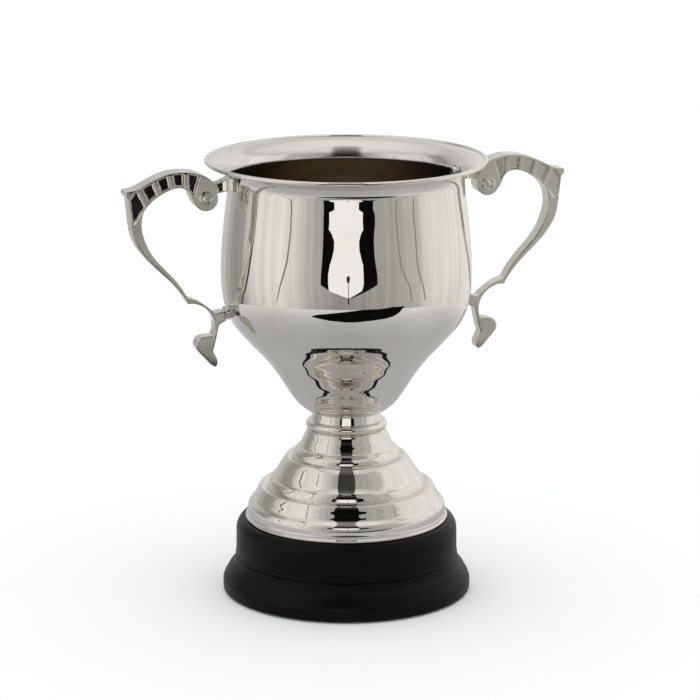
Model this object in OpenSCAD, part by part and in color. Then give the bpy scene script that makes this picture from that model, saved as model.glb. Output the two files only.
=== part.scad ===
// Two-handled cup trophy: a spun, plated cup on a turned wooden plinth.
// Millimetres. +Z is up, the handles lie along X, and the origin is the centre of the resting face.

/* [Plinth] */
// Greatest radius of the plinth, at its foot
plinth_r = 56.9; // [55:0.1:60]
// Height of the plinth's top above the resting face
plinth_top = 34; // [32:0.5:38]
// Radius of the plinth's upper tier
tier_r = 50.85; // [50:0.05:52]
// Height of the step between the plinth's two tiers
tier_z = 16.4; // [15.5:0.1:17]
// Radius of the rounding on the plinth's top edge
top_round = 5.5; // [4:0.1:5.5]
// Thickness of the felt pad under the plinth
felt_t = 1.2; // [1:0.1:1.6]

/* [Foot] */
// Height of the spun foot, from its lip to its crown
foot_h = 42; // [40:0.5:44]
// Radius of the foot's lip
foot_r = 46.4; // [45:0.1:46.5]

/* [Neck ring] */
// Height of the turned ring between foot and bowl
ring_h = 8; // [7:0.1:9]
// Radius of the ring's bead
bead_r = 18.5; // [18.2:0.1:19.5]
// Radius of the ring's collar at its top, where the bowl sits on it
collar_r = 15.3; // [14.8:0.1:15.6]

/* [Bowl] */
// Height of the bowl, from its base to the middle of the rim wire
bowl_h = 116; // [113:0.5:119]
// Greatest radius of the bowl's body
body_r = 56.9; // [55.5:0.1:58.5]
// Radius over the rim wire
rim_r = 63.9; // [63.6:0.1:64.2]
// Diameter of the half-hard wire soldered round the rim
rim_wire_d = 1.9; // [1.6:0.1:2.2]
// Thickness of the spun sheet
sheet_t = 0.8; // [0.6:0.05:0.9]

/* [Handles] */
// Width of a handle across the top of its arch
arch_w = 9.8; // [8.6:0.1:10.2]
// Width of a handle down its leg and tail
leg_w = 7; // [6.5:0.1:7.6]
// Depth of the pockets in the arch, halfway up it
pocket_t = 1.4; // [1:0.1:1.7]
// Slope of the pockets' floors, deepest at the top, in degrees
pocket_slope = 4; // [3:1:8]
// Width of the ribs between the pockets
rib_w = 2; // [1.6:0.1:2.6]
// Radius of the volute at the end of the arch
volute_r = 5.4; // [5:0.1:5.8]

/* [Fasteners] */
// Diameter of the centre bolt
bolt_d = 6; // [5:1:6]
// Diameter of the handle screws
screw_d = 3; // [2.5:0.5:3]

/* [Hidden] */

$fn = 96;
steps = 6;          // straight pieces in one span of a smooth curve
gap = 0.02;         // running gap between loose pieces
slack = 0.25;       // radial play of a bolt or screw in its hole

nickel = [0.80, 0.79, 0.77];
steel = [0.62, 0.63, 0.65];
lacquer = [0.05, 0.05, 0.055];
baize = [0.03, 0.16, 0.10];

foot_z = plinth_top;
ring_z = foot_z + foot_h;
bowl_z = ring_z + ring_h;

// The outlines of the bowl and the handles are drawn for this size of bowl, and follow the real one
drawn_h = 116;
drawn_r = 56.9;
function fit(p) = [p[0] * body_r / drawn_r, p[1] * bowl_h / drawn_h];
function fitted(points) = [for (p = points) fit(p)];

// A smooth curve through the given points, without its last point
function open_curve(p) = [
  for (i = [0:len(p) - 2])
    let (
      a = p[max(i - 1, 0)],
      b = p[i],
      c = p[i + 1],
      d = p[min(i + 2, len(p) - 1)]
    )
      for (j = [0:steps - 1])
        let (t = j / steps)
          b + 0.5 * t * ((c - a) + t * ((2 * a - 5 * b + 4 * c - d) + t * (3 * b - a - 3 * c + d)))
];
function curve(p) = concat(open_curve(p), [p[len(p) - 1]]);

// An elliptical arc about a centre, without its last point
function open_arc(centre, rx, ry, from, to, n) = [
  for (i = [0:n - 1])
    let (angle = from + (to - from) * i / n)
      centre + [rx * cos(angle), ry * sin(angle)]
];

function backwards(p) = [for (i = [len(p) - 1:-1:0]) p[i]];
function slice(p, first, last) = [for (i = [first:last]) p[i]];

// The curve moved sideways by t, to the left of its own direction
function inset(p, t) = [
  for (i = [0:len(p) - 1])
    let (along = p[min(i + 1, len(p) - 1)] - p[max(i - 1, 0)])
      p[i] + t * [-along[1], along[0]] / norm(along)
];

// ---------------------------------------------------------------- plinth

felt_recess = 0.7;                     // depth of the seat that the felt is glued into
plinth_z = felt_t - felt_recess;       // height of the plinth's bottom edge
felt_r = plinth_r - 3;
hardware_r = 13;                       // radius of the pocket for the plinth's nut
hardware_top = 13;                     // height of that pocket's roof

module felt_pad() {
  color(baize)
    cylinder(r = felt_r, h = felt_t, $fn = 128);
}

// Half section of the plinth: foot band, ovolo, fillet, quirk, upper tier and rounded top
function plinth_side() = concat(
  [[plinth_r - 0.5, plinth_z], [plinth_r, plinth_z + 0.5]],
  open_curve([
    [plinth_r, 4.9], [plinth_r - 0.5, 6.6], [plinth_r - 1.6, 8.6],
    [plinth_r - 3, 11], [plinth_r - 4.7, 12.8]
  ]),
  [
    [plinth_r - 4.7, 12.8], [plinth_r - 5.1, 13.1],
    [tier_r + 0.35, tier_z - 0.5], [tier_r - 0.45, tier_z], [tier_r + 0.25, tier_z + 0.5],
    [tier_r + 0.25, tier_z + 1.1], [tier_r, tier_z + 1.4], [tier_r - 0.15, plinth_top - top_round]
  ],
  open_arc(
    [tier_r - 0.15 - top_round * 0.75, plinth_top - top_round],
    top_round * 0.75, top_round, 10, 90, 12
  ),
  [[tier_r - 0.15 - top_round * 0.75, plinth_top]]
);

module plinth() {
  color(lacquer)
    difference() {
      rotate_extrude($fn = 180)
        polygon(concat([[0, plinth_z]], plinth_side(), [[0, plinth_top]]));
      translate([0, 0, plinth_z - 1])
        cylinder(r = felt_r + 0.3, h = felt_recess + 1, $fn = 128);
      cylinder(r = hardware_r, h = hardware_top);
      cylinder(d = bolt_d + 2 * slack, h = plinth_top + 1);
    }
}

// ---------------------------------------------------------------- foot

// Outside of the foot, upwards: lip, band, then three coves, with a shoulder and a roll between them
foot_lip = [[foot_r - 0.5, 0], [foot_r, 0.4], [foot_r, 1.1], [foot_r - 0.5, 1.55]];
foot_band = [
  [foot_r - 0.75, 1.65], [foot_r - 0.8, 2.5], [foot_r - 1.05, 2.8],
  [foot_r - 1.2, 4.6], [foot_r - 1.25, 5.9]
];
low_cove = [
  [44.9, 6.8], [44.3, 7.7], [43.4, 8.5], [42.6, 9.4], [42, 10.7], [41.3, 12], [40.7, 13.4], [40, 14.7]
];
low_shoulder = [[40, 14.7], [39.5, 15.3], [38.6, 15.3], [36.6, 14.6], [36.1, 14.3]];
low_roll = [[36.1, 14.3], [36, 15.4], [35.8, 16.6], [35.4, 17.8], [34.8, 18.9]];
mid_cove = [
  [34.8, 18.9], [34, 19.5], [33.1, 20.6], [32.2, 21.9], [31.4, 23.2], [30.6, 24.5], [29.7, 26],
  [28.9, 27.3], [28, 28.5]
];
high_shoulder = [[28, 28.5], [27.4, 29.1], [26.6, 29.1], [25, 28.6], [24.6, 28.4]];
high_roll = [[24.6, 28.4], [24.7, 29.8], [24.4, 31.1], [23.6, 32.3], [22.5, 33.4]];
high_cove = [
  [22.5, 33.4], [21.7, 33.9], [21.1, 34.8], [20.4, 36.2], [19.7, 37.9], [18.9, 39.5], [18.3, 40.8],
  [18.1, 41.6]
];
foot_tiers = [low_cove, low_shoulder, low_roll, mid_cove, high_shoulder, high_roll, high_cove];
// The smooth line just inside those mouldings, which the foot's inner face runs a sheet's thickness from
foot_core = [
  [44.6, 5.9], [42.8, 7.5], [41.2, 9.2], [40.1, 11.4], [38.3, 13.1], [35.3, 13.8], [34.3, 16.4],
  [32.7, 18.8], [30.9, 21.1], [29.4, 24], [27.3, 26.9], [25, 27.6], [23, 27.8], [22.2, 30],
  [21, 32.4], [19.6, 34.7], [18.4, 37.8], [17.6, 41.2]
];
foot_scale = [foot_r / 46.4, foot_h / 42];
crown_r = 16.5;                        // radius of the foot's flat crown

function scaled(points) = [for (p = points) [p[0] * foot_scale[0], p[1] * foot_scale[1]]];
function foot_side() = concat(
  foot_lip,
  foot_band,
  [for (tier = foot_tiers) each open_curve(scaled(tier))],
  [[18 * foot_scale[0], foot_h - 0.3], [17.6 * foot_scale[0], foot_h], [bolt_d / 2 + slack, foot_h]]
);
function foot_inside() = concat(
  [[foot_r - 1.9, 0], [foot_r - 1.9, 3.5]],
  inset(curve(scaled(foot_core)), sheet_t),
  [[crown_r, foot_h - sheet_t], [bolt_d / 2 + slack, foot_h - sheet_t]]
);

module foot() {
  color(nickel)
    translate([0, 0, foot_z])
      rotate_extrude($fn = 180)
        polygon(concat(foot_side(), backwards(foot_inside())));
}

// ---------------------------------------------------------------- neck ring

module neck_ring() {
  bead_z = 2.1;
  color(nickel)
    translate([0, 0, ring_z])
      rotate_extrude($fn = 180)
        polygon(concat(
          [[bolt_d / 2 + slack, 0], [bead_r - 1.2, 0]],
          open_arc([bead_r - 2, bead_z], 2, bead_z, -75, 80, 14),
          [
            [collar_r + 0.75, bead_z * 2 + 0.1], [collar_r + 0.7, bead_z * 2 + 0.45],
            [collar_r, ring_h], [bolt_d / 2 + slack, ring_h]
          ]
        ));
}

// ---------------------------------------------------------------- bowl and rim

// Side of the bowl, upwards from the edge of its flat base: [radius, height above the base].
// Spinning left the cone with shallow waves, a few tenths of a millimetre deep.
bowl_points = [
  [15.8, 0], [17.2, 0.45], [19.5, 2.1], [21.9, 4.1], [23.2, 5.5], [25.2, 8.2], [26.52, 10.2],
  [27.84, 12.2], [29.26, 14.5], [30.83, 17], [32.9, 20], [35.12, 23], [37.66, 26], [39.8, 28.4],
  [41.73, 30.4], [43.81, 32.6], [46.41, 35.5], [49.13, 38.6], [52.2, 42.6], [54.7, 48.2],
  [56.1, 54.2], [56.75, 60.5],
  [56.9, 67], [56.55, 75], [55.8, 84], [54.7, 94], [53.7, 102], [53.3, 107]
];
// The flared mouth is a quarter of an ellipse that starts at the top of the side
flare_w = 10;
flare_h = 8.4;
flare_end = 83;                        // angle at which the flare meets the wire

waist = fit([53.3, 107]);
rim_centre = [rim_r - rim_wire_d / 2, bowl_h];

function bowl_side() = concat(
  open_curve(fitted(bowl_points)),
  open_arc(waist + fit([flare_w, 0]), fit([flare_w, 0])[0], fit([0, flare_h])[1], 180, 180 - flare_end, 14),
  [waist + fit([flare_w * (1 - cos(flare_end)), flare_h * sin(flare_end)])]
);
// Inside of the bowl, and the bowl's whole outer envelope, which the handles are cut to
function bowl_inside() = inset(bowl_side(), sheet_t);

module bowl() {
  base = [bolt_d / 2 + slack, 0];
  color(nickel)
    translate([0, 0, bowl_z])
      rotate_extrude($fn = 180)
        difference() {
          polygon(concat([base], bowl_side(), backwards(bowl_inside()), [base + [0, sheet_t]]));
          translate(rim_centre)
            circle(d = rim_wire_d, $fn = 48);
        }
}

module rim_wire() {
  color(nickel)
    translate([0, 0, bowl_z])
      rotate_extrude($fn = 180)
        translate(rim_centre)
          circle(d = rim_wire_d, $fn = 48);
}

module bowl_envelope() {
  translate([0, 0, bowl_z])
    rotate_extrude($fn = 180)
      polygon(concat([[0, 0]], bowl_side(), [[0, waist[1] + flare_h]]));
}

// Radius of the bowl's outside, and of its inside, at a height above its base
function outside_r(h) = lookup(h, [for (p = bowl_side()) [p[1], p[0]]]);
function inside_r(h) = lookup(h, [for (p = bowl_inside()) [p[1], p[0]]]);

// ---------------------------------------------------------------- centre bolt

module washer(inner_d, outer_d, thick) {
  difference() {
    cylinder(d = outer_d, h = thick);
    translate([0, 0, -1])
      cylinder(d = inner_d, h = thick + 2);
  }
}

module hex_nut(size, thick) {
  across_flats = size * 1.67;
  difference() {
    intersection() {
      cylinder(d = across_flats / cos(30), h = thick, $fn = 6);
      rotate_extrude($fn = 96)
        polygon([
          [0, 0], [across_flats * 0.47, 0], [across_flats * 0.6, size * 0.12],
          [across_flats * 0.6, thick - size * 0.12], [across_flats * 0.47, thick], [0, thick]
        ]);
    }
    translate([0, 0, -1])
      cylinder(d = size + 2 * gap, h = thick + 2);
  }
}

washer_t = 1.2;
nut_t = 5;
bolt_head_z = bowl_z + sheet_t + washer_t;
bolt_end_z = 4.5;

module bowl_washer() {
  color(nickel)
    translate([0, 0, bowl_z + sheet_t])
      washer(bolt_d + 2 * slack, 18, washer_t);
}

module centre_bolt() {
  head_r = bolt_d * 1.02;
  head_h = bolt_d * 0.62;
  color(nickel)
    difference() {
      union() {
        translate([0, 0, bolt_end_z])
          cylinder(d = bolt_d, h = bolt_head_z - bolt_end_z);
        translate([0, 0, bolt_head_z])
          rotate_extrude($fn = 96)
            polygon(concat(
              [[0, 0], [head_r, 0]],
              open_arc([0, 0.6], head_r, head_h - 0.6, 0, 90, 16),
              [[0, head_h]]
            ));
      }
      translate([0, 0, bolt_head_z + head_h * 0.35])
        cylinder(d = bolt_d * 0.75, h = head_h, $fn = 6);
    }
}

module foot_washer() {
  color(steel)
    translate([0, 0, ring_z - sheet_t - washer_t])
      washer(bolt_d + 2 * slack, 18, washer_t);
}

module foot_nut() {
  color(steel)
    translate([0, 0, ring_z - sheet_t - washer_t - nut_t])
      hex_nut(bolt_d, nut_t);
}

module plinth_washer() {
  color(steel)
    translate([0, 0, hardware_top - washer_t])
      washer(bolt_d + 2 * slack, 20, washer_t);
}

module plinth_nut() {
  color(steel)
    translate([0, 0, hardware_top - washer_t - nut_t])
      hex_nut(bolt_d, nut_t);
}

// ---------------------------------------------------------------- handles

// The handle's outline, in stretches, as [distance from the cup's axis, height above the bowl's base]
arch_top = [
  [62.3, 109], [64.5, 111.2], [67.5, 113.1], [71, 114.4], [75, 115], [79, 115],
  [83, 114.5], [87, 113.3], [91, 111.6], [95, 109.6], [98.6, 108], [102.8, 107.3]
];
corner_spur = [[103, 105.8], [101.4, 103.6]];
leg_outer = [
  [101.2, 101], [100.6, 94.5], [99.8, 88], [98, 83], [94.5, 77.7], [90.3, 73],
  [85.6, 68.4], [81.6, 64.5], [78.7, 61], [76.4, 57.9], [74.7, 54.8]
];
crook_under = [
  [74.7, 54.8], [72.2, 54.9], [69.3, 54], [66.5, 52.3], [64.3, 49.8], [63, 47],
  [62.6, 44.2], [62.8, 41.7], [63.6, 39.6]
];
leaf = [
  [63.6, 39.6], [66.4, 39.7], [69.4, 39], [71.1, 36.9], [71.1, 34.4], [69.7, 32.2],
  [67.7, 30], [65.6, 27.6], [64.1, 26.1], [62.3, 25.1]
];
tail = [[62.3, 25.1], [61.3, 26.9], [61.7, 29.3], [62.8, 31.4], [63.4, 32.9]];
stem = [[63.4, 32.9], [62.7, 35.1], [61.9, 38.2], [61.2, 41.5], [60.5, 44.6]];
crook_top = [[62.2, 50], [64.4, 51.9], [66.7, 53.7], [69.1, 55.4], [71.9, 56.8], [74.8, 57.7]];
leg_inner = [
  [74.8, 57.7], [77.2, 61.9], [80, 65.7], [83, 69.1], [86.6, 73], [90, 77], [92.9, 82],
  [94.7, 86.8], [95.5, 91.6], [95.2, 95.6], [94.1, 98.6], [92.1, 101.2]
];
arch_inner = [
  [92.1, 101.2], [89.5, 103.4], [86.2, 105.4], [82.6, 107.1], [79.2, 107.8], [76.1, 107.3],
  [73.9, 105.6], [72.6, 102.8], [71.4, 100.2]
];
volute_c = [66.1, 102.2];

// The lower fixing: a spacer collar stands square on the wall of the bowl, and the lug meets its end
lower_h = 49.6;                        // height of the fixing above the bowl's base
lower_tilt = 20;                       // slope of its axis, down and away from the bowl
lower_wall = [outside_r(lower_h * bowl_h / drawn_h), lower_h * bowl_h / drawn_h];
lower_axis = [cos(lower_tilt), -sin(lower_tilt)];
lower_side = [sin(lower_tilt), cos(lower_tilt)];
spacer_l = 2.9;
lug_r = 2.35;
lug_end = lower_wall + spacer_l * lower_axis;

// The upper fixing: a level arm from the volute, flared where it meets the waist
upper_h = 107.4;
arm_w = 6.4;
arm_side = [
  [68, 109], [60.5, 108.9], [57.6, 110], [55, 111], [50, 111], [50, 105.3], [57, 104.9], [61.5, 104.1], [68, 104]
];
arm_flare = [[58.5, 3.2], [56.6, 3.5], [55.2, 4.4], [53.9, 6], [52.9, 8.8], [49, 8.8]];

// Ribs across the arch: the point where each leaves the top edge, and the one where it meets the inner edge
ribs = [
  [[75.3, 113.6], [75.2, 107]],
  [[82.2, 113.2], [81.2, 107]],
  [[89.2, 111], [87, 104.6]],
  [[96.2, 107.8], [92.6, 100.6]]
];
pocket_top = 1;                        // border left above the pockets
pocket_under = 0.6;                    // border left below them
pocket_level = 106;                    // height where the pockets are pocket_t deep
eye_r = 1.6;                           // radius of the dome in the volute's eye
crook_level = 66;                      // height where the casting starts to widen
arch_level = 114;                      // height where it reaches its full width

// Half the casting's width at a level above the crook: it has an even draft, as if drawn from a mould
function half_width(level) =
  leg_w / 2 + (arch_w - leg_w) / 2 * (level - crook_level) / (arch_level - crook_level);

function handle_outline() = concat(
  open_curve(fitted(arch_top)),
  [fit(arch_top[len(arch_top) - 1])],
  fitted(corner_spur),
  open_curve(fitted(leg_outer)),
  open_curve(fitted(crook_under)),
  open_curve(fitted(leaf)),
  open_curve(fitted(tail)),
  curve(fitted(stem)),
  [lug_end - lug_r * lower_side, lug_end + lug_r * lower_side],
  open_curve(fitted(crook_top)),
  open_curve(fitted(leg_inner)),
  open_curve(fitted(arch_inner)),
  open_arc(fit(volute_c), volute_r, volute_r, -20, -200, 24),
  [fit(volute_c) + volute_r * [cos(160), sin(160)], fit([60.9, 106.4])]
);

// Recessed field of the arch and corner, before the ribs cross it
function pocket_outline() = concat(
  inset(slice(curve(fitted(arch_top)), 14, 60), -pocket_top),
  fitted([[100.8, 103.4], [100.5, 99.5], [100.1, 95.5], [99.7, 91.6], [95.9, 97.2]]),
  backwards(inset(backwards(slice(curve(fitted(arch_inner)), 0, 42)), pocket_under))
);

module side_on(width) {
  rotate([90, 0, 0])
    translate([0, 0, -width / 2])
      linear_extrude(width)
        children();
}

module pocket_field() {
  difference() {
    polygon(pocket_outline());
    translate(fit(volute_c))
      circle(r = volute_r + 0.5);
    for (rib = ribs)
      rib_bar(fit(rib[0]), fit(rib[1]));
  }
}

// What the pockets take out of one side of the casting
module pocket_cut(side) {
  intersection() {
    translate([0, side * arch_w / 2, 0])
      side_on(arch_w)
        pocket_field();
    translate([0, side * (half_width(pocket_level) - pocket_t), fit([0, pocket_level])[1]])
      rotate([side * pocket_slope, 0, 0])
        translate([0, side * arch_w / 2, 0])
          cube([300, arch_w, 80], center = true);
  }
}

module rib_bar(from, to) {
  along = (to - from) / norm(to - from);
  across = rib_w / 2 * [-along[1], along[0]];
  polygon([from - along + across, to + along + across, to + along - across, from - along - across]);
}

// The casting is widest at the top of the arch and narrows down to the crook
module width_limits() {
  narrow_z = fit([0, crook_level])[1];
  wide_z = fit([0, arch_level])[1];
  rotate([90, 0, 90])
    linear_extrude(110)
      polygon([
        [-leg_w / 2, 0], [leg_w / 2, 0], [leg_w / 2, narrow_z], [arch_w / 2, wide_z],
        [arch_w / 2, 130], [-arch_w / 2, 130], [-arch_w / 2, wide_z], [-leg_w / 2, narrow_z]
      ]);
}

module arm() {
  intersection() {
    side_on(18)
      polygon(fitted(arm_side));
    translate([0, 0, 100])
      linear_extrude(20)
        polygon(concat(
          [[68, -arm_w / 2], [68, arm_w / 2]],
          curve(arm_flare),
          backwards([for (p = curve(arm_flare)) [p[0], -p[1]]])
        ));
  }
}

module eye(side) {
  translate([fit(volute_c)[0], side * half_width(volute_c[1]), fit(volute_c)[1]])
    rotate([-90 * side, 0, 0]) {
      difference() {
        translate([0, 0, -0.5])
          cylinder(r = eye_r + 1.2, h = 0.9, $fn = 48);
        translate([0, 0, -0.1])
          cylinder(r = eye_r + 0.7, h = 2, $fn = 48);
      }
      intersection() {
        translate([0, 0, 1 - eye_r])
          sphere(r = eye_r, $fn = 48);
        translate([0, 0, -0.5])
          cylinder(r = eye_r, h = 3, $fn = 48);
      }
    }
}

upper_bore_l = 8.4;
lower_bore_l = 4.2;

// Puts a piece drawn along +Z onto a fixing's axis, pointing away from the bowl
module on_upper_axis(x) {
  translate([x, 0, bowl_z + fit([0, upper_h])[1]])
    rotate([0, 90, 0])
      children();
}

module on_lower_axis(distance) {
  translate([lower_wall[0], 0, bowl_z + lower_wall[1]])
    rotate([0, 90 + lower_tilt, 0])
      translate([0, 0, distance])
        children();
}

module handle() {
  color(nickel)
    difference() {
      translate([0, 0, bowl_z]) {
        intersection() {
          side_on(arch_w)
            polygon(handle_outline());
          width_limits();
        }
        arm();
        for (side = [-1, 1])
          eye(side);
      }
      for (side = [-1, 1])
        translate([0, 0, bowl_z])
          pocket_cut(side);
      bowl_envelope();
      on_upper_axis(waist[0] - 2)
        cylinder(d = screw_d + 2 * gap, h = upper_bore_l + 2);
      on_lower_axis(spacer_l - 1)
        cylinder(d = screw_d + 2 * gap, h = lower_bore_l + 1);
    }
}

module lower_collar() {
  color(nickel)
    difference() {
      on_lower_axis(-1.5)
        rotate_extrude($fn = 72)
          polygon(concat(
            [[screw_d / 2 + 0.1, 0]],
            open_arc([1.4, 1.9], 1.7, 1.9, -80, 55, 10),
            [[3.3, 2.7], [3.4, 3], [3.3, 3.3], [2.6, 3.5]],
            [[2.6, spacer_l + 1.4], [2.4, spacer_l + 1.5 - gap], [screw_d / 2 + 0.1, spacer_l + 1.5 - gap]]
          ));
      bowl_envelope();
    }
}

// A pan head, its shank along +Z, with a cross slot
module pan_screw(length) {
  head_r = screw_d * 0.95;
  head_h = screw_d * 0.62;
  slot_w = 0.5;
  color(nickel)
    difference() {
      rotate_extrude($fn = 72)
        polygon(concat(
          [[0, length], [screw_d / 2 - 0.3, length], [screw_d / 2, length - 0.5], [screw_d / 2, 0], [head_r, 0]],
          open_arc([head_r - 1.2, -head_h + 1.2], 1.2, 1.2, 0, -90, 6),
          [[head_r - 1.2, -head_h], [0, -head_h]]
        ));
      for (turn = [0, 90])
        rotate([0, 0, turn])
          translate([-screw_d * 0.6, -slot_w / 2, -head_h - 1])
            cube([screw_d * 1.2, slot_w, head_h * 0.5 + 1]);
    }
}

screw_washer_r = 3.4;
screw_washer_t = 0.6;
// A flat washer bridges the hollow of the wall, so that it stands off it at the middle
function bridge(r) = r - sqrt(r * r - screw_washer_r * screw_washer_r);
upper_seat = inside_r(fit([0, upper_h])[1]) - bridge(inside_r(fit([0, upper_h])[1])) - gap;
lower_seat = -sheet_t - bridge(28) - gap;

module upper_washer() {
  color(nickel)
    on_upper_axis(upper_seat - screw_washer_t)
      washer(screw_d + 0.2, 2 * screw_washer_r, screw_washer_t);
}

module upper_screw() {
  on_upper_axis(upper_seat - screw_washer_t)
    pan_screw(10);
}

module lower_washer() {
  color(nickel)
    on_lower_axis(lower_seat - screw_washer_t)
      washer(screw_d + 0.2, 2 * screw_washer_r, screw_washer_t);
}

module lower_screw() {
  on_lower_axis(lower_seat - screw_washer_t)
    pan_screw(8);
}

// The left side is the right side seen in a mirror
module left() {
  mirror([1, 0, 0])
    children();
}

felt_pad();
plinth();
plinth_washer();
plinth_nut();
foot();
foot_washer();
foot_nut();
neck_ring();
bowl();
rim_wire();
bowl_washer();
centre_bolt();
left() handle();  // left_handle
left() upper_washer();  // left_upper_washer
left() upper_screw();  // left_upper_screw
left() lower_collar();  // left_lower_collar
left() lower_washer();  // left_lower_washer
left() lower_screw();  // left_lower_screw
handle();  // right_handle
upper_washer();  // right_upper_washer
upper_screw();  // right_upper_screw
lower_collar();  // right_lower_collar
lower_washer();  // right_lower_washer
lower_screw();  // right_lower_screw
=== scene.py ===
"""Looks of the cup trophy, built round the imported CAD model. Metres, in the CAD frame."""

import math

import bmesh
import bpy
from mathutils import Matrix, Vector


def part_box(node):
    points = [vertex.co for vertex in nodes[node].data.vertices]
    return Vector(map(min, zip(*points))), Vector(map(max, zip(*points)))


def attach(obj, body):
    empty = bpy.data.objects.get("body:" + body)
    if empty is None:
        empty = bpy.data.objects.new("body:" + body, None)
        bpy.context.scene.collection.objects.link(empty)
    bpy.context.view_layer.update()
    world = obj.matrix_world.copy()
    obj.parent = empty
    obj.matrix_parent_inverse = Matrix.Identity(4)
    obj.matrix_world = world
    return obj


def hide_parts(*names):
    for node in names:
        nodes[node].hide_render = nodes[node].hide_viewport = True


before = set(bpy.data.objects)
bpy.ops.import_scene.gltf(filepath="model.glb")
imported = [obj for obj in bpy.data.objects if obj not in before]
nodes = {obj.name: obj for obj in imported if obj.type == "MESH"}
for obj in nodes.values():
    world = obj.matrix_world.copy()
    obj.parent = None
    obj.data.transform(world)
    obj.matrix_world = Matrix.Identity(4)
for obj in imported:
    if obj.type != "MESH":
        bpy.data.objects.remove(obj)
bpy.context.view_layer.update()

MM = 0.001

# ------------------------------------------------------------------ sizes, from the frame

FLARE_DEPTH = 12 * MM     # how far the flare of the mouth reaches down inside the bowl
FLARE_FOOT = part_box("bowl")[1].z - FLARE_DEPTH
TARNISH_DEPTH = 14 * MM   # how far below the flare the tarnish takes to reach its full brown

# ------------------------------------------------------------------ camera

VIEW_SIDE = 17.0          # degrees from the front towards the left handle
VIEW_DISTANCE = 1.4077    # from the cup's axis
VIEW_HEIGHT = 0.4477      # above the base
VIEW_PITCH = 13.41        # degrees down
LENS = 163.5              # focal length in millimetres
SENSOR = 36               # width of the sensor in millimetres
SHIFT = 0.0051            # sideways shift of the frame, as a share of its width


def around(side, radius, height=0.0):
    """A point about the cup's axis; side is in degrees to the right of the camera."""
    angle = math.radians(side - VIEW_SIDE)
    return Vector((radius * math.sin(angle), -radius * math.cos(angle), height))


def add_camera():
    """Looks at the cup from the front and a little above."""
    data = bpy.data.cameras.new("camera")
    data.lens = LENS
    data.sensor_width = SENSOR
    data.shift_x = SHIFT
    camera = bpy.data.objects.new("camera", data)
    camera.location = around(0, VIEW_DISTANCE, VIEW_HEIGHT)
    camera.rotation_euler = (math.radians(90 - VIEW_PITCH), 0, math.radians(-VIEW_SIDE))
    bpy.context.scene.collection.objects.link(camera)
    bpy.context.scene.camera = camera


# ------------------------------------------------------------------ materials


class Graph:
    """A material with a Principled shader, and short ways to add nodes to it."""

    def __init__(self, name):
        self.material = bpy.data.materials.new(name)
        self.material.use_nodes = True
        self.tree = self.material.node_tree
        self.shader = self.tree.nodes["Principled BSDF"]
        self.place = self.add("ShaderNodeTexCoord").outputs["Object"]

    def add(self, kind, **settings):
        node = self.tree.nodes.new(kind)
        for key, value in settings.items():
            setattr(node, key, value)
        return node

    def link(self, output, socket):
        self.tree.links.new(output, socket)

    def set(self, **values):
        """Sets what is the same all over on the shader's own sockets."""
        for key, value in values.items():
            self.shader.inputs[key.replace("_", " ")].default_value = value

    def stretched(self, scale):
        """Places in the object, scaled by x, y and z, so that a noise in them is drawn out."""
        mapping = self.add("ShaderNodeMapping")
        mapping.inputs["Scale"].default_value = scale
        self.link(self.place, mapping.inputs["Vector"])
        return mapping.outputs["Vector"]

    def noise(self, scale, detail=4.0, rough=0.55, vector=None):
        node = self.add("ShaderNodeTexNoise")
        node.inputs["Scale"].default_value = scale
        node.inputs["Detail"].default_value = detail
        node.inputs["Roughness"].default_value = rough
        self.link(vector or self.place, node.inputs["Vector"])
        return node.outputs["Fac"]

    def ramp(self, value, low, high, to_low=0.0, to_high=1.0):
        """Goes smoothly from to_low to to_high while the value goes from low to high."""
        node = self.add("ShaderNodeMapRange")
        node.interpolation_type = "SMOOTHSTEP"
        node.inputs["From Min"].default_value = low
        node.inputs["From Max"].default_value = high
        node.inputs["To Min"].default_value = to_low
        node.inputs["To Max"].default_value = to_high
        self.link(value, node.inputs["Value"])
        return node.outputs["Result"]

    def math(self, operation, a, b):
        """A sum or product; a and b are numbers or outputs."""
        node = self.add("ShaderNodeMath", operation=operation)
        for socket, value in zip(node.inputs, (a, b)):
            if isinstance(value, (int, float)):
                socket.default_value = value
            else:
                self.link(value, socket)
        return node.outputs["Value"]

    def mix(self, factor, a, b):
        """A colour between a and b. A mix node's colours are its inputs 6 and 7 and its output 2."""
        node = self.add("ShaderNodeMix", data_type="RGBA")
        self.link(factor, node.inputs["Factor"])
        for socket, value in ((node.inputs[6], a), (node.inputs[7], b)):
            if isinstance(value, tuple):
                socket.default_value = (*value, 1)
            else:
                self.link(value, socket)
        return node.outputs[2]

    def colour(self, output):
        self.link(output, self.shader.inputs["Base Color"])

    def roughness(self, output):
        self.link(output, self.shader.inputs["Roughness"])

    def bump(self, height, distance, strength=1.0):
        node = self.add("ShaderNodeBump")
        node.inputs["Distance"].default_value = distance
        node.inputs["Strength"].default_value = strength
        self.link(height, node.inputs["Height"])
        self.link(node.outputs["Normal"], self.shader.inputs["Normal"])


def spun_nickel():
    """Bright nickel plate on spun sheet: faint rings left by the spinning, and wiping marks."""
    g = Graph("spun_nickel")
    g.set(Metallic=1.0)
    clouds = g.noise(scale=28, detail=5)
    g.colour(g.mix(g.ramp(clouds, 0.35, 0.7), (0.80, 0.775, 0.735), (0.755, 0.725, 0.68)))
    rings = g.noise(scale=1.0, detail=3, rough=0.6, vector=g.stretched((6, 6, 900)))
    wipes = g.noise(scale=160, detail=6, rough=0.7, vector=g.stretched((1, 1, 0.35)))
    marks = g.math("MULTIPLY", g.ramp(wipes, 0.5, 0.75), 0.03)
    g.roughness(g.math("ADD", g.ramp(clouds, 0.3, 0.75, 0.008, 0.03), marks))
    g.bump(rings, 0.001 * MM, 0.6)
    return g.material


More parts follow.
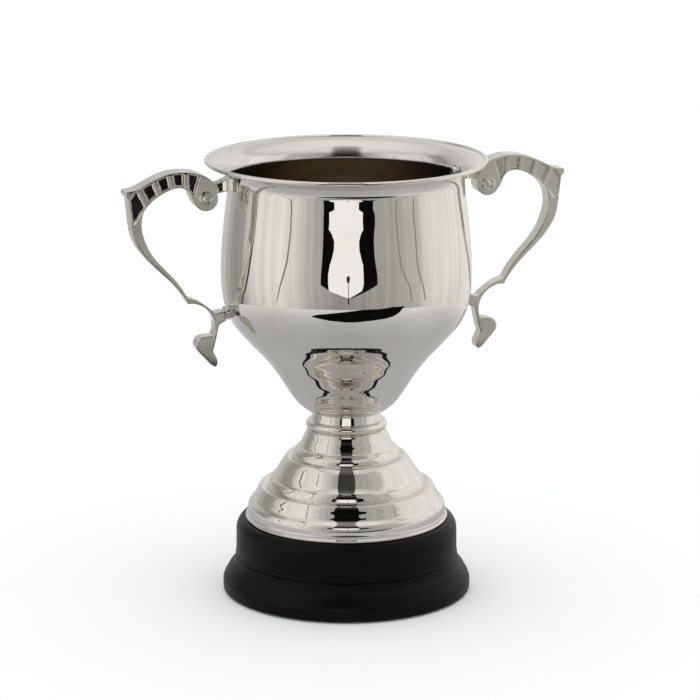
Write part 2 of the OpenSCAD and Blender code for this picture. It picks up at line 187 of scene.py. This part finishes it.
def bowl_inside_nickel():
    """The inside of the bowl: satin, with spinning rings, and brown with tarnish below the flare."""
    g = Graph("bowl_inside_nickel")
    g.set(Metallic=1.0)
    height = g.add("ShaderNodeSeparateXYZ")
    g.link(g.place, height.inputs[0])
    clouds = g.noise(scale=24, detail=5)
    deep = g.ramp(height.outputs["Z"], FLARE_FOOT, FLARE_FOOT - TARNISH_DEPTH)
    bright = g.mix(clouds, (0.80, 0.785, 0.765), (0.72, 0.705, 0.68))
    runs = g.noise(scale=1.0, detail=4, rough=0.6, vector=g.stretched((40, 40, 4)))
    brown = g.mix(runs, (0.36, 0.30, 0.215), (0.23, 0.185, 0.125))
    g.colour(g.mix(deep, bright, brown))
    satin = g.ramp(clouds, 0.3, 0.75, 0.11, 0.15)
    g.roughness(g.math("ADD", satin, g.math("MULTIPLY", deep, 0.14)))
    rings = g.noise(scale=1.0, detail=3, rough=0.6, vector=g.stretched((9, 9, 1100)))
    g.bump(rings, 0.006 * MM, 0.7)
    return g.material


def cast_nickel():
    """Nickel plate on polished castings: softer, with a little orange peel."""
    g = Graph("cast_nickel")
    g.set(Metallic=1.0)
    clouds = g.noise(scale=60, detail=5)
    g.colour(g.mix(g.ramp(clouds, 0.35, 0.7), (0.72, 0.70, 0.63), (0.63, 0.605, 0.53)))
    fine = g.noise(scale=900, detail=4, rough=0.6)
    g.roughness(g.ramp(clouds, 0.3, 0.75, 0.06, 0.11))
    peel = g.noise(scale=240, detail=3)
    g.bump(g.math("ADD", peel, g.math("MULTIPLY", fine, 0.3)), 0.012 * MM, 0.8)
    return g.material


def fastener_nickel():
    """Nickel plate on screws and washers: duller than the cup, with a fine grain."""
    g = Graph("fastener_nickel")
    g.set(Metallic=1.0)
    clouds = g.noise(scale=300, detail=4)
    g.colour(g.mix(clouds, (0.70, 0.68, 0.64), (0.62, 0.59, 0.55)))
    g.roughness(g.ramp(clouds, 0.3, 0.7, 0.15, 0.32))
    g.bump(g.noise(scale=1500, detail=2), 0.01 * MM)
    return g.material


def zinc_steel():
    """Zinc-plated steel under the plinth: dull, with a bluish spangle."""
    g = Graph("zinc_steel")
    g.set(Metallic=1.0)
    patches = g.add("ShaderNodeTexVoronoi")
    patches.inputs["Scale"].default_value = 500
    g.link(g.place, patches.inputs["Vector"])
    g.colour(g.mix(patches.outputs["Distance"], (0.60, 0.63, 0.66), (0.44, 0.46, 0.50)))
    g.roughness(g.ramp(g.noise(scale=700, detail=4), 0.3, 0.7, 0.3, 0.5))
    g.bump(g.noise(scale=2200, detail=3), 0.01 * MM)
    return g.material


def black_lacquer():
    """Black satin lacquer on turned wood: fine grain and orange peel, with a soft low shine."""
    g = Graph("black_lacquer")
    grain = g.noise(scale=55, detail=6, rough=0.65, vector=g.stretched((1, 1, 9)))
    pores = g.noise(scale=700, detail=3, rough=0.6, vector=g.stretched((1, 1, 6)))
    g.colour(g.mix(g.ramp(grain, 0.3, 0.75), (0.0012, 0.0012, 0.0014), (0.0035, 0.0034, 0.0034)))
    g.set(Specular_IOR_Level=0.11)
    g.roughness(g.ramp(g.noise(scale=40, detail=4), 0.3, 0.7, 0.28, 0.38))
    peel = g.noise(scale=420, detail=3)
    g.bump(g.math("ADD", peel, g.math("MULTIPLY", pores, 0.5)), 0.02 * MM, 0.7)
    return g.material


def felt_cloth():
    """Green baize: matted fibres with a pale sheen."""
    g = Graph("felt_cloth")
    fibres = g.noise(scale=1400, detail=5, rough=0.7)
    tufts = g.noise(scale=260, detail=4)
    g.colour(g.mix(g.ramp(fibres, 0.3, 0.7), (0.010, 0.060, 0.036), (0.028, 0.125, 0.078)))
    g.set(Sheen_Weight=0.6, Sheen_Roughness=0.5)
    g.roughness(g.ramp(tufts, 0.3, 0.7, 0.88, 1.0))
    g.bump(g.math("ADD", fibres, tufts), 0.12 * MM)
    return g.material


# ------------------------------------------------------------------ turned pieces

SEAM_WIDTH = 1e-8         # a vertex nearer than this to the XZ plane lies on a turned node's seam
SHARP = math.radians(16)  # corners that turn more than this are rounded
CORNER_SHARE = 0.42       # most of a side that one rounded corner may take
CORNER_STEPS = 5
FAR_LONGER = 4            # a side this many times its neighbour's length gets a support point
SUPPORT_REACH = 1.5       # its distance from the corner, in lengths of the neighbour
SEGMENTS = 240            # round a turned piece
FOOT_SEGMENTS = 192       # fewer, because the foot's outline has the most points


def half_section(node):
    """The closed outline of a turned CAD node, as (radius, height), walked round along its seam."""
    mesh = nodes[node].data
    seam = {
        v.index: (v.co.x, v.co.z)
        for v in mesh.vertices
        if abs(v.co.y) < SEAM_WIDTH and v.co.x > 0
    }
    links = {}
    for edge in mesh.edges:
        a, b = (seam.get(i) for i in edge.vertices)
        if a and b and a != b:
            links.setdefault(a, set()).add(b)
            links.setdefault(b, set()).add(a)
    loop = [max(links)]
    while True:
        onward = links[loop[-1]] - set(loop)
        if not onward:
            break
        loop.append(min(onward))
    return [Vector(p) for p in loop]


def turn_at(before, point, after):
    """How sharply the outline turns at a point, in radians."""
    return (point - before).angle(after - point, 0)


def softened(loop, radius):
    """The outline with each sharp corner rounded, and support points beside it."""
    out = []
    count = len(loop)
    for i, point in enumerate(loop):
        before = loop[i - 1]
        after = loop[(i + 1) % count]
        if turn_at(before, point, after) < SHARP:
            out.append(point)
            continue
        cut_in = min(radius, CORNER_SHARE * (point - before).length)
        cut_out = min(radius, CORNER_SHARE * (after - point).length)
        start = point + (before - point).normalized() * cut_in
        end = point + (after - point).normalized() * cut_out
        for k in range(CORNER_STEPS + 1):
            t = k / CORNER_STEPS
            out.append(start.lerp(point, t).lerp(point.lerp(end, t), t))
    return supported(out)


def supported(loop):
    """Adds a point near each end of a segment that is far longer than its neighbour."""
    out = []
    count = len(loop)
    for i, point in enumerate(loop):
        out.append(point)
        after = loop[(i + 1) % count]
        length = (after - point).length
        short_in = (point - loop[i - 1]).length
        short_out = (loop[(i + 2) % count] - after).length
        if length > FAR_LONGER * short_in:
            out.append(point.lerp(after, SUPPORT_REACH * short_in / length))
        if length > FAR_LONGER * short_out:
            out.append(after.lerp(point, SUPPORT_REACH * short_out / length))
    return out


def turned(name, node, material, slot, edge=0.15 * MM, segments=SEGMENTS):
    """A smooth turned piece on the outline of a CAD node, its corners rounded to the edge radius."""
    loop = softened(half_section(node), edge)
    mesh = bmesh.new()
    rings = []
    for s in range(segments):
        angle = 2 * math.pi * s / segments
        cos = math.cos(angle)
        sin = math.sin(angle)
        rings.append([mesh.verts.new((p.x * cos, p.x * sin, p.y)) for p in loop])
    for s in range(segments):
        here = rings[s]
        there = rings[(s + 1) % segments]
        for i in range(len(loop)):
            k = (i + 1) % len(loop)
            mesh.faces.new((here[i], there[i], there[k], here[k]))
    bmesh.ops.recalc_face_normals(mesh, faces=mesh.faces)
    return piece(name, mesh, material, slot, node)


def line_inside(shell, material):
    """Gives the faces that look inwards, or more up than outwards, a finish of their own."""
    shell.data.materials.append(material)
    for face in shell.data.polygons:
        outward = Vector((face.center.x, face.center.y, 0)).normalized()
        if face.normal.z > face.normal.dot(outward):
            face.material_index = 1


def piece(name, mesh, material, slot, *replaced):
    """Makes the object, smooth shaded, riding on the cup in place of the CAD nodes."""
    for face in mesh.faces:
        face.smooth = True
    data = bpy.data.meshes.new(name)
    mesh.to_mesh(data)
    mesh.free()
    data.materials.append(material)
    made = bpy.data.objects.new(name, data)
    bpy.context.scene.collection.objects.link(made)
    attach(made, "root")
    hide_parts(*replaced)
    return made


# ------------------------------------------------------------------ castings


CAST_GRID = 0.25 * MM     # grid that a handle's skin is rebuilt on
SMALL_GRID = 0.09 * MM    # and that of a screw or a collar
ARCH_FOOT = 20 * MM       # how far below the top of a handle its pockets end
LEG_BLEND = 3 * MM        # how far below that the leg's softer polish takes to set in
ARCH_ROUNDS = 3           # rounds of polish on a whole handle
LEG_ROUNDS = 11           # more of them on its leg
SMALL_ROUNDS = 4          # and on a screw or a collar


def reskinned(node, grid):
    """The node's shape as one even skin on a fine grid, which can be polished soft like metal."""
    source = bpy.data.objects.new("reskinned", nodes[node].data.copy())
    bpy.context.scene.collection.objects.link(source)
    remesh = source.modifiers.new("skin", "REMESH")
    remesh.mode = "VOXEL"
    remesh.voxel_size = grid
    skin = source.evaluated_get(bpy.context.evaluated_depsgraph_get())
    mesh = bmesh.new()
    mesh.from_mesh(skin.to_mesh())
    skin.to_mesh_clear()
    bpy.data.objects.remove(source)
    return mesh


def polished(made, rounds, label="polish"):
    """Wears the piece's edges round; more rounds make them softer."""
    smooth = made.modifiers.new(label, "SMOOTH")
    smooth.factor = 0.5
    smooth.iterations = rounds
    return smooth


def cast(name, node, material, slot):
    """A casting with its edges worn round: a little on the arch, more down the leg."""
    made = piece(name, reskinned(node, CAST_GRID), material, slot, node)
    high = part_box(node)[1]
    leg = made.vertex_groups.new(name="leg")
    for vert in made.data.vertices:
        below = (high.z - ARCH_FOOT - vert.co.z) / LEG_BLEND
        if below > 0:
            leg.add([vert.index], min(1, below), "REPLACE")
    polished(made, ARCH_ROUNDS)
    polished(made, LEG_ROUNDS, "leg_polish").vertex_group = "leg"
    return made


def small_metal(name, node, material, slot):
    """A screw or a collar with its edges broken and its round faces smooth."""
    made = piece(name, reskinned(node, SMALL_GRID), material, slot, node)
    polished(made, SMALL_ROUNDS)
    return made


# ------------------------------------------------------------------ stage

TENT = 0.44               # radius of the light tent round the cup
TENT_CENTRE = 0.15        # height of its middle
HORIZON = -20             # where the tent's cloth meets the table, in degrees of rise
ROOF = 40                 # where the cloth meets the roof
NADIR = -89.9             # just short of straight down, so that no face of the table is empty

# How far inside the tent each layer hangs; over the table it lies at half that height
TABLE_LAYER = 1 * MM
SEAM_LAYER = 4 * MM
OPENING_LAYER = 6 * MM
WINDOW_LAYER = 12 * MM
CORD_LAYER = 16 * MM

WARM_WHITE = (1, 0.97, 0.93)
WINDOW_WHITE = (1, 0.975, 0.985)
CREAM = (1, 0.95, 0.9)

FLOOR_REACH = 6.0         # half the floor's width
FLOOR_DROP = 0.2 * MM     # keeps the floor's face clear of the felt's
STUDIO_LIGHT = 1.12       # strength of the white world


def on_tent(side, rise, inward=0.0):
    """A point on the tent, seen from its middle; below the table's level it lies on the table."""
    radius = TENT - inward
    tilt = math.radians(rise)
    flat = radius * math.cos(tilt)
    height = TENT_CENTRE + radius * math.sin(tilt)
    level = inward / 2
    if height < level:
        flat = (TENT_CENTRE - level) / math.tan(-tilt)
        height = level
    return around(side, flat, height)


def sides_at(rows, rise):
    """The left and right side of a patch at a height, on straight lines between its rows."""
    for low, high in zip(rows, rows[1:]):
        if low[0] <= rise <= high[0]:
            t = (rise - low[0]) / (high[0] - low[0])
            return [a + (b - a) * t for a, b in zip(low[1:], high[1:])]
    return rows[-1][1:]


def patch(name, material, rows, inward, columns=24, step=0.75):
    """Part of the tent, in small faces whose UVs hold their side and rise.

    Each row is (rise, left side, right side), and the step is the rise of one face in degrees.
    """
    mesh = bmesh.new()
    layer = mesh.loops.layers.uv.new("angles")
    bottom = rows[0][0]
    height = rows[-1][0] - bottom
    count = max(1, round(height / step))
    even = {bottom + height * k / count for k in range(count + 1)}
    rises = sorted(even | {row[0] for row in rows})
    grid = []
    angles = {}
    for rise in rises:
        left, right = sides_at(rows, rise)
        grid.append([])
        for c in range(columns + 1):
            side = left + (right - left) * c / columns
            vert = mesh.verts.new(on_tent(side, rise, inward))
            angles[vert] = (side, rise)
            grid[-1].append(vert)
    for low, high in zip(grid, grid[1:]):
        for c in range(columns):
            face = mesh.faces.new((low[c], low[c + 1], high[c + 1], high[c]))
            for loop in face.loops:
                loop[layer].uv = angles[loop.vert]
    data = bpy.data.meshes.new(name)
    mesh.to_mesh(data)
    mesh.free()
    data.materials.append(material)
    made = bpy.data.objects.new(name, data)
    made.visible_camera = False
    made.visible_diffuse = False
    made.visible_shadow = False
    bpy.context.scene.collection.objects.link(made)
    return made


class Light:
    """A light-giving material whose strength follows the side and the rise on the tent."""

    def __init__(self, name, colour, strength=1.0):
        self.material = bpy.data.materials.new(name)
        self.material.use_nodes = True
        self.tree = self.material.node_tree
        self.tree.nodes.clear()
        self.emission = self.tree.nodes.new("ShaderNodeEmission")
        self.emission.inputs["Color"].default_value = (*colour, 1)
        self.emission.inputs["Strength"].default_value = strength
        output = self.tree.nodes.new("ShaderNodeOutputMaterial")
        self.tree.links.new(self.emission.outputs[0], output.inputs[0])
        angles = self.tree.nodes.new("ShaderNodeUVMap")
        split = self.tree.nodes.new("ShaderNodeSeparateXYZ")
        self.tree.links.new(angles.outputs["UV"], split.inputs[0])
        self.angles = angles.outputs["UV"]
        self.side = split.outputs["X"]
        self.rise = split.outputs["Y"]

    def profile(self, value, stops):
        """A curve through (angle, strength) stops."""
        low = stops[0][0]
        high = stops[-1][0]
        scale = self.tree.nodes.new("ShaderNodeMapRange")
        scale.inputs["From Min"].default_value = low
        scale.inputs["From Max"].default_value = high
        self.tree.links.new(value, scale.inputs["Value"])
        node = self.tree.nodes.new("ShaderNodeFloatCurve")
        self.tree.links.new(scale.outputs["Result"], node.inputs["Value"])
        curve = node.mapping.curves[0]
        places = [((angle - low) / (high - low), strength) for angle, strength in stops]
        curve.points[0].location = places[0]
        curve.points[1].location = places[-1]
        for place in places[1:-1]:
            curve.points.new(*place)
        for point in curve.points:
            point.handle_type = "VECTOR"
        node.mapping.update()
        return node.outputs["Value"]

    def folds(self, scale, low, high, detail=2.0):
        """Noise between two strengths, stretched by a scale for the side and one for the rise."""
        stretch = self.tree.nodes.new("ShaderNodeMapping")
        stretch.inputs["Scale"].default_value = scale
        self.tree.links.new(self.angles, stretch.inputs["Vector"])
        noise = self.tree.nodes.new("ShaderNodeTexNoise")
        noise.inputs["Scale"].default_value = 1
        noise.inputs["Detail"].default_value = detail
        self.tree.links.new(stretch.outputs["Vector"], noise.inputs["Vector"])
        spread = self.tree.nodes.new("ShaderNodeMapRange")
        spread.inputs["From Min"].default_value = 0.3
        spread.inputs["From Max"].default_value = 0.7
        spread.inputs["To Min"].default_value = low
        spread.inputs["To Max"].default_value = high
        self.tree.links.new(noise.outputs["Fac"], spread.inputs["Value"])
        return spread.outputs["Result"]

    def times(self, *values):
        """Makes the strength the product of these values."""
        product = values[0]
        for value in values[1:]:
            node = self.tree.nodes.new("ShaderNodeMath")
            node.operation = "MULTIPLY"
            self.tree.links.new(product, node.inputs[0])
            self.tree.links.new(value, node.inputs[1])
            product = node.outputs[0]
        self.tree.links.new(product, self.emission.inputs["Strength"])


def tent_cloth():
    """White cloth lit from outside: dimmer near the opening, with upright folds and streaks."""
    light = Light("tent_cloth", (1.0, 0.985, 0.96))
    sides = light.profile(light.side, [
        (-180, 0.80), (-140, 0.62), (-122, 0.38), (-106, 0.38), (-98, 0.74), (-84, 0.92), (-56, 0.94),
        (-44, 0.80), (-36, 0.66), (-26, 0.50), (-10, 0.40), (0, 0.37), (14, 0.40), (30, 0.46), (50, 0.52),
        (64, 0.62), (76, 0.90), (100, 0.97), (150, 0.93), (180, 0.80)
    ])
    rises = light.profile(light.rise, [(-20, 0.86), (-14, 0.96), (0, 1.0), (40, 1.0), (90, 1.0)])
    folds = light.folds((0.16, 0.012, 1), 0.86, 1.08)
    streaks = light.folds((0.9, 0.03, 1), 0.93, 1.05)
    light.times(sides, rises, folds, streaks)
    return light.material


def tent_roof():
    """The roof of the tent, bright all round."""
    light = Light("tent_roof", (1.0, 0.985, 0.965))
    light.times(
        light.profile(light.rise, [(38, 0.6), (50, 0.8), (65, 0.95), (90, 1.0)]),
        light.folds((0.05, 0.05, 1), 0.9, 1.05)
    )
    return light.material


def table_top():
    """The white table under the cup, dimmer in the cup's own shade."""
    light = Light("table_top", (0.985, 0.985, 1.0))
    light.times(
        light.profile(light.rise, [
            (-90, 0.50), (-62, 0.50), (-45, 0.51), (-31, 0.57), (-24, 0.68), (-19, 0.86)
        ]),
        light.profile(light.side, [
            (-180, 0.95), (-90, 0.96), (-40, 0.93), (0, 0.87), (40, 0.95), (90, 1.0), (180, 0.95)
        ]),
        light.folds((0.02, 0.03, 1), 0.97, 1.05)
    )
    return light.material


def opening():
    """The gap in the tent that the camera looks through: a dark room, brighter towards the roof."""
    light = Light("opening", WARM_WHITE)
    light.times(
        light.profile(light.rise, [
            (-13, 0.012), (-4, 0.004), (27, 0.004), (32, 0.05), (42, 0.06), (50, 0.12), (60, 0.25),
            (76, 0.45), (84, 0.7)
        ]),
        light.folds((0.5, 0.06, 1), 0.6, 1.3)
    )
    return light.material


# Shapes on the tent, as rows of (rise, left side, right side) in degrees
SLIT = [
    (-12.7, 1.8, 1.8), (-6.0, -21.6, 26.2), (-3, -21.4, 26), (1, -20.4, 24), (4, -20, 23.5),
    (6.6, -20, 25), (10, -20.5, 26), (15, -20, 25), (19, -16.5, 17), (31, -16, 16.5),
    (60, -18, 18), (84, -40, 40)
]
WINDOW = [
    (-12.2, 1.8, 1.8), (-8.2, -14.5, 13), (-5.6, -15.2, 14.4), (-3, -15.3, 14.3), (-0.4, -14, 14),
    (1, -12.3, 12.5), (2.7, -10.6, 11), (4.3, -10.4, 10.8), (5.2, -12.6, 12.6), (5.9, -15.2, 14.5),
    (8.6, -14.6, 14), (9.6, -11, 11)
]
TABLE_EDGE = [
    (-28.6, 1, 7), (-27.5, -14, 22), (-26, -22, 34), (-24.6, -28, 40), (-23.4, -31, 43),
    (-22, -24, 46), (-20.6, -8, 48), (-19, 12, 50), (-18, 40, 52)
]
CORD = [
    (-16, 1.2, 2.6), (-12.6, 0.9, 2.3), (-12.4, 1.3, 1.9), (-5.2, 1.3, 1.8), (-4.8, 0.4, 2.6),
    (-3.6, -0.1, 3.1), (-3.0, 1, 2)
]
SEAMS = (                 # each with its strength
    (0.26, [
        (-16, -63, -62), (-8, -59, -57.4), (-0.8, -52.5, -50.9), (4.1, -50.6, -49.2), (12, -51, -50),
        (30, -57, -55)
    ]),
    (0.05, [
        (-18.7, -110, -108), (-13, -101, -98.8), (-6.6, -95.2, -93), (-2, -92.2, -90),
        (1.3, -90.4, -88.4), (30, -87, -85)
    ]),
    (0.30, [(-16, 57.6, 59), (-8, 54.6, 56), (-2, 46.6, 48), (4, 44.2, 45.6), (20, 42.8, 44)]),
    (0.30, [(-16, 71.6, 73), (-9, 68.6, 70), (-3, 62.6, 64), (6, 61.6, 63), (24, 65.6, 67)]),
)


def add_tent():
    """The tent's cloth, roof and table, and the shapes that hang inside it."""
    all_round = (-180, 180)
    cloth = [(HORIZON, *all_round), (ROOF, *all_round)]
    roof = [(ROOF, *all_round), (90, *all_round)]
    table = [(NADIR, *all_round), (HORIZON + 1, *all_round)]
    patch("tent", tent_cloth(), cloth, 0.0, columns=180)
    patch("tent_roof", tent_roof(), roof, 0.0, columns=60, step=4)
    patch("table", table_top(), table, TABLE_LAYER, columns=120, step=2)
    patch("opening", opening(), SLIT, OPENING_LAYER)
    patch("window", Light("window", WINDOW_WHITE, 1.08).material, WINDOW, WINDOW_LAYER)
    patch("table_edge", Light("table_edge", CREAM, 0.004).material, TABLE_EDGE, WINDOW_LAYER)
    patch("cord", Light("cord", WARM_WHITE, 0.05).material, CORD, CORD_LAYER, columns=1)
    for index, (strength, rows) in enumerate(SEAMS):
        name = f"seam_{index}"
        patch(name, Light(name, WARM_WHITE, strength).material, rows, SEAM_LAYER, columns=1)


def add_floor():
    """A plain pale floor, which the cup's mirrors don't show; they show the table instead."""
    mesh = bmesh.new()
    bmesh.ops.create_grid(mesh, x_segments=2, y_segments=2, size=FLOOR_REACH)
    data = bpy.data.meshes.new("floor")
    mesh.to_mesh(data)
    mesh.free()
    g = Graph("floor_paper")
    g.set(Specular_IOR_Level=0.1)
    g.colour(g.mix(g.noise(scale=3, detail=3), (0.93, 0.94, 0.95), (0.92, 0.93, 0.945)))
    g.roughness(g.ramp(g.noise(scale=60, detail=4), 0.3, 0.7, 0.8, 0.95))
    data.materials.append(g.material)
    floor = bpy.data.objects.new("floor", data)
    floor.location.z = -FLOOR_DROP
    floor.visible_glossy = False
    bpy.context.scene.collection.objects.link(floor)


def add_world():
    """Soft white light from all round."""
    world = bpy.data.worlds.new("studio")
    world.use_nodes = True
    background = world.node_tree.nodes["Background"]
    background.inputs["Color"].default_value = (1, 1, 1, 1)
    background.inputs["Strength"].default_value = STUDIO_LIGHT
    bpy.context.scene.world = world
    bpy.context.scene.view_settings.view_transform = "Standard"


# ------------------------------------------------------------------ the cup

SHEET = spun_nickel()
INSIDE = bowl_inside_nickel()
CAST = cast_nickel()
FASTENER = fastener_nickel()
ZINC = zinc_steel()
LACQUER = black_lacquer()
FELT = felt_cloth()

bowl_shell = turned("bowl_shell", "bowl", SHEET, "nickel_sheet")
line_inside(bowl_shell, INSIDE)
turned("rim_bead", "rim_wire", SHEET, "nickel_sheet", edge=0.02 * MM)
turned("neck", "neck_ring", SHEET, "nickel_sheet", edge=0.2 * MM)
turned("foot_shell", "foot", SHEET, "nickel_sheet", edge=0.12 * MM, segments=FOOT_SEGMENTS)
turned("plinth_body", "plinth", LACQUER, "plinth_lacquer", edge=0.4 * MM)
for side in ("left", "right"):
    cast(f"{side}_handle_casting", f"{side}_handle", CAST, "nickel_casting")
    small_metal(f"{side}_spacer", f"{side}_lower_collar", CAST, "nickel_casting")
    for place in ("upper", "lower"):
        small_metal(f"{side}_{place}_pan_screw", f"{side}_{place}_screw", FASTENER, "nickel_fastener")

# CAD nodes that are shown as they are, by the finish they get
CARRIED = {
    FELT: ("felt_pad",),
    ZINC: ("plinth_washer", "plinth_nut", "foot_washer", "foot_nut"),
    FASTENER: (
        "bowl_washer", "centre_bolt", "left_upper_washer", "left_lower_washer",
        "right_upper_washer", "right_lower_washer"
    ),
}
for material, names in CARRIED.items():
    for name in names:
        finish = nodes[name].data.materials
        finish.clear()
        finish.append(material)

add_camera()
add_tent()
add_floor()
add_world()
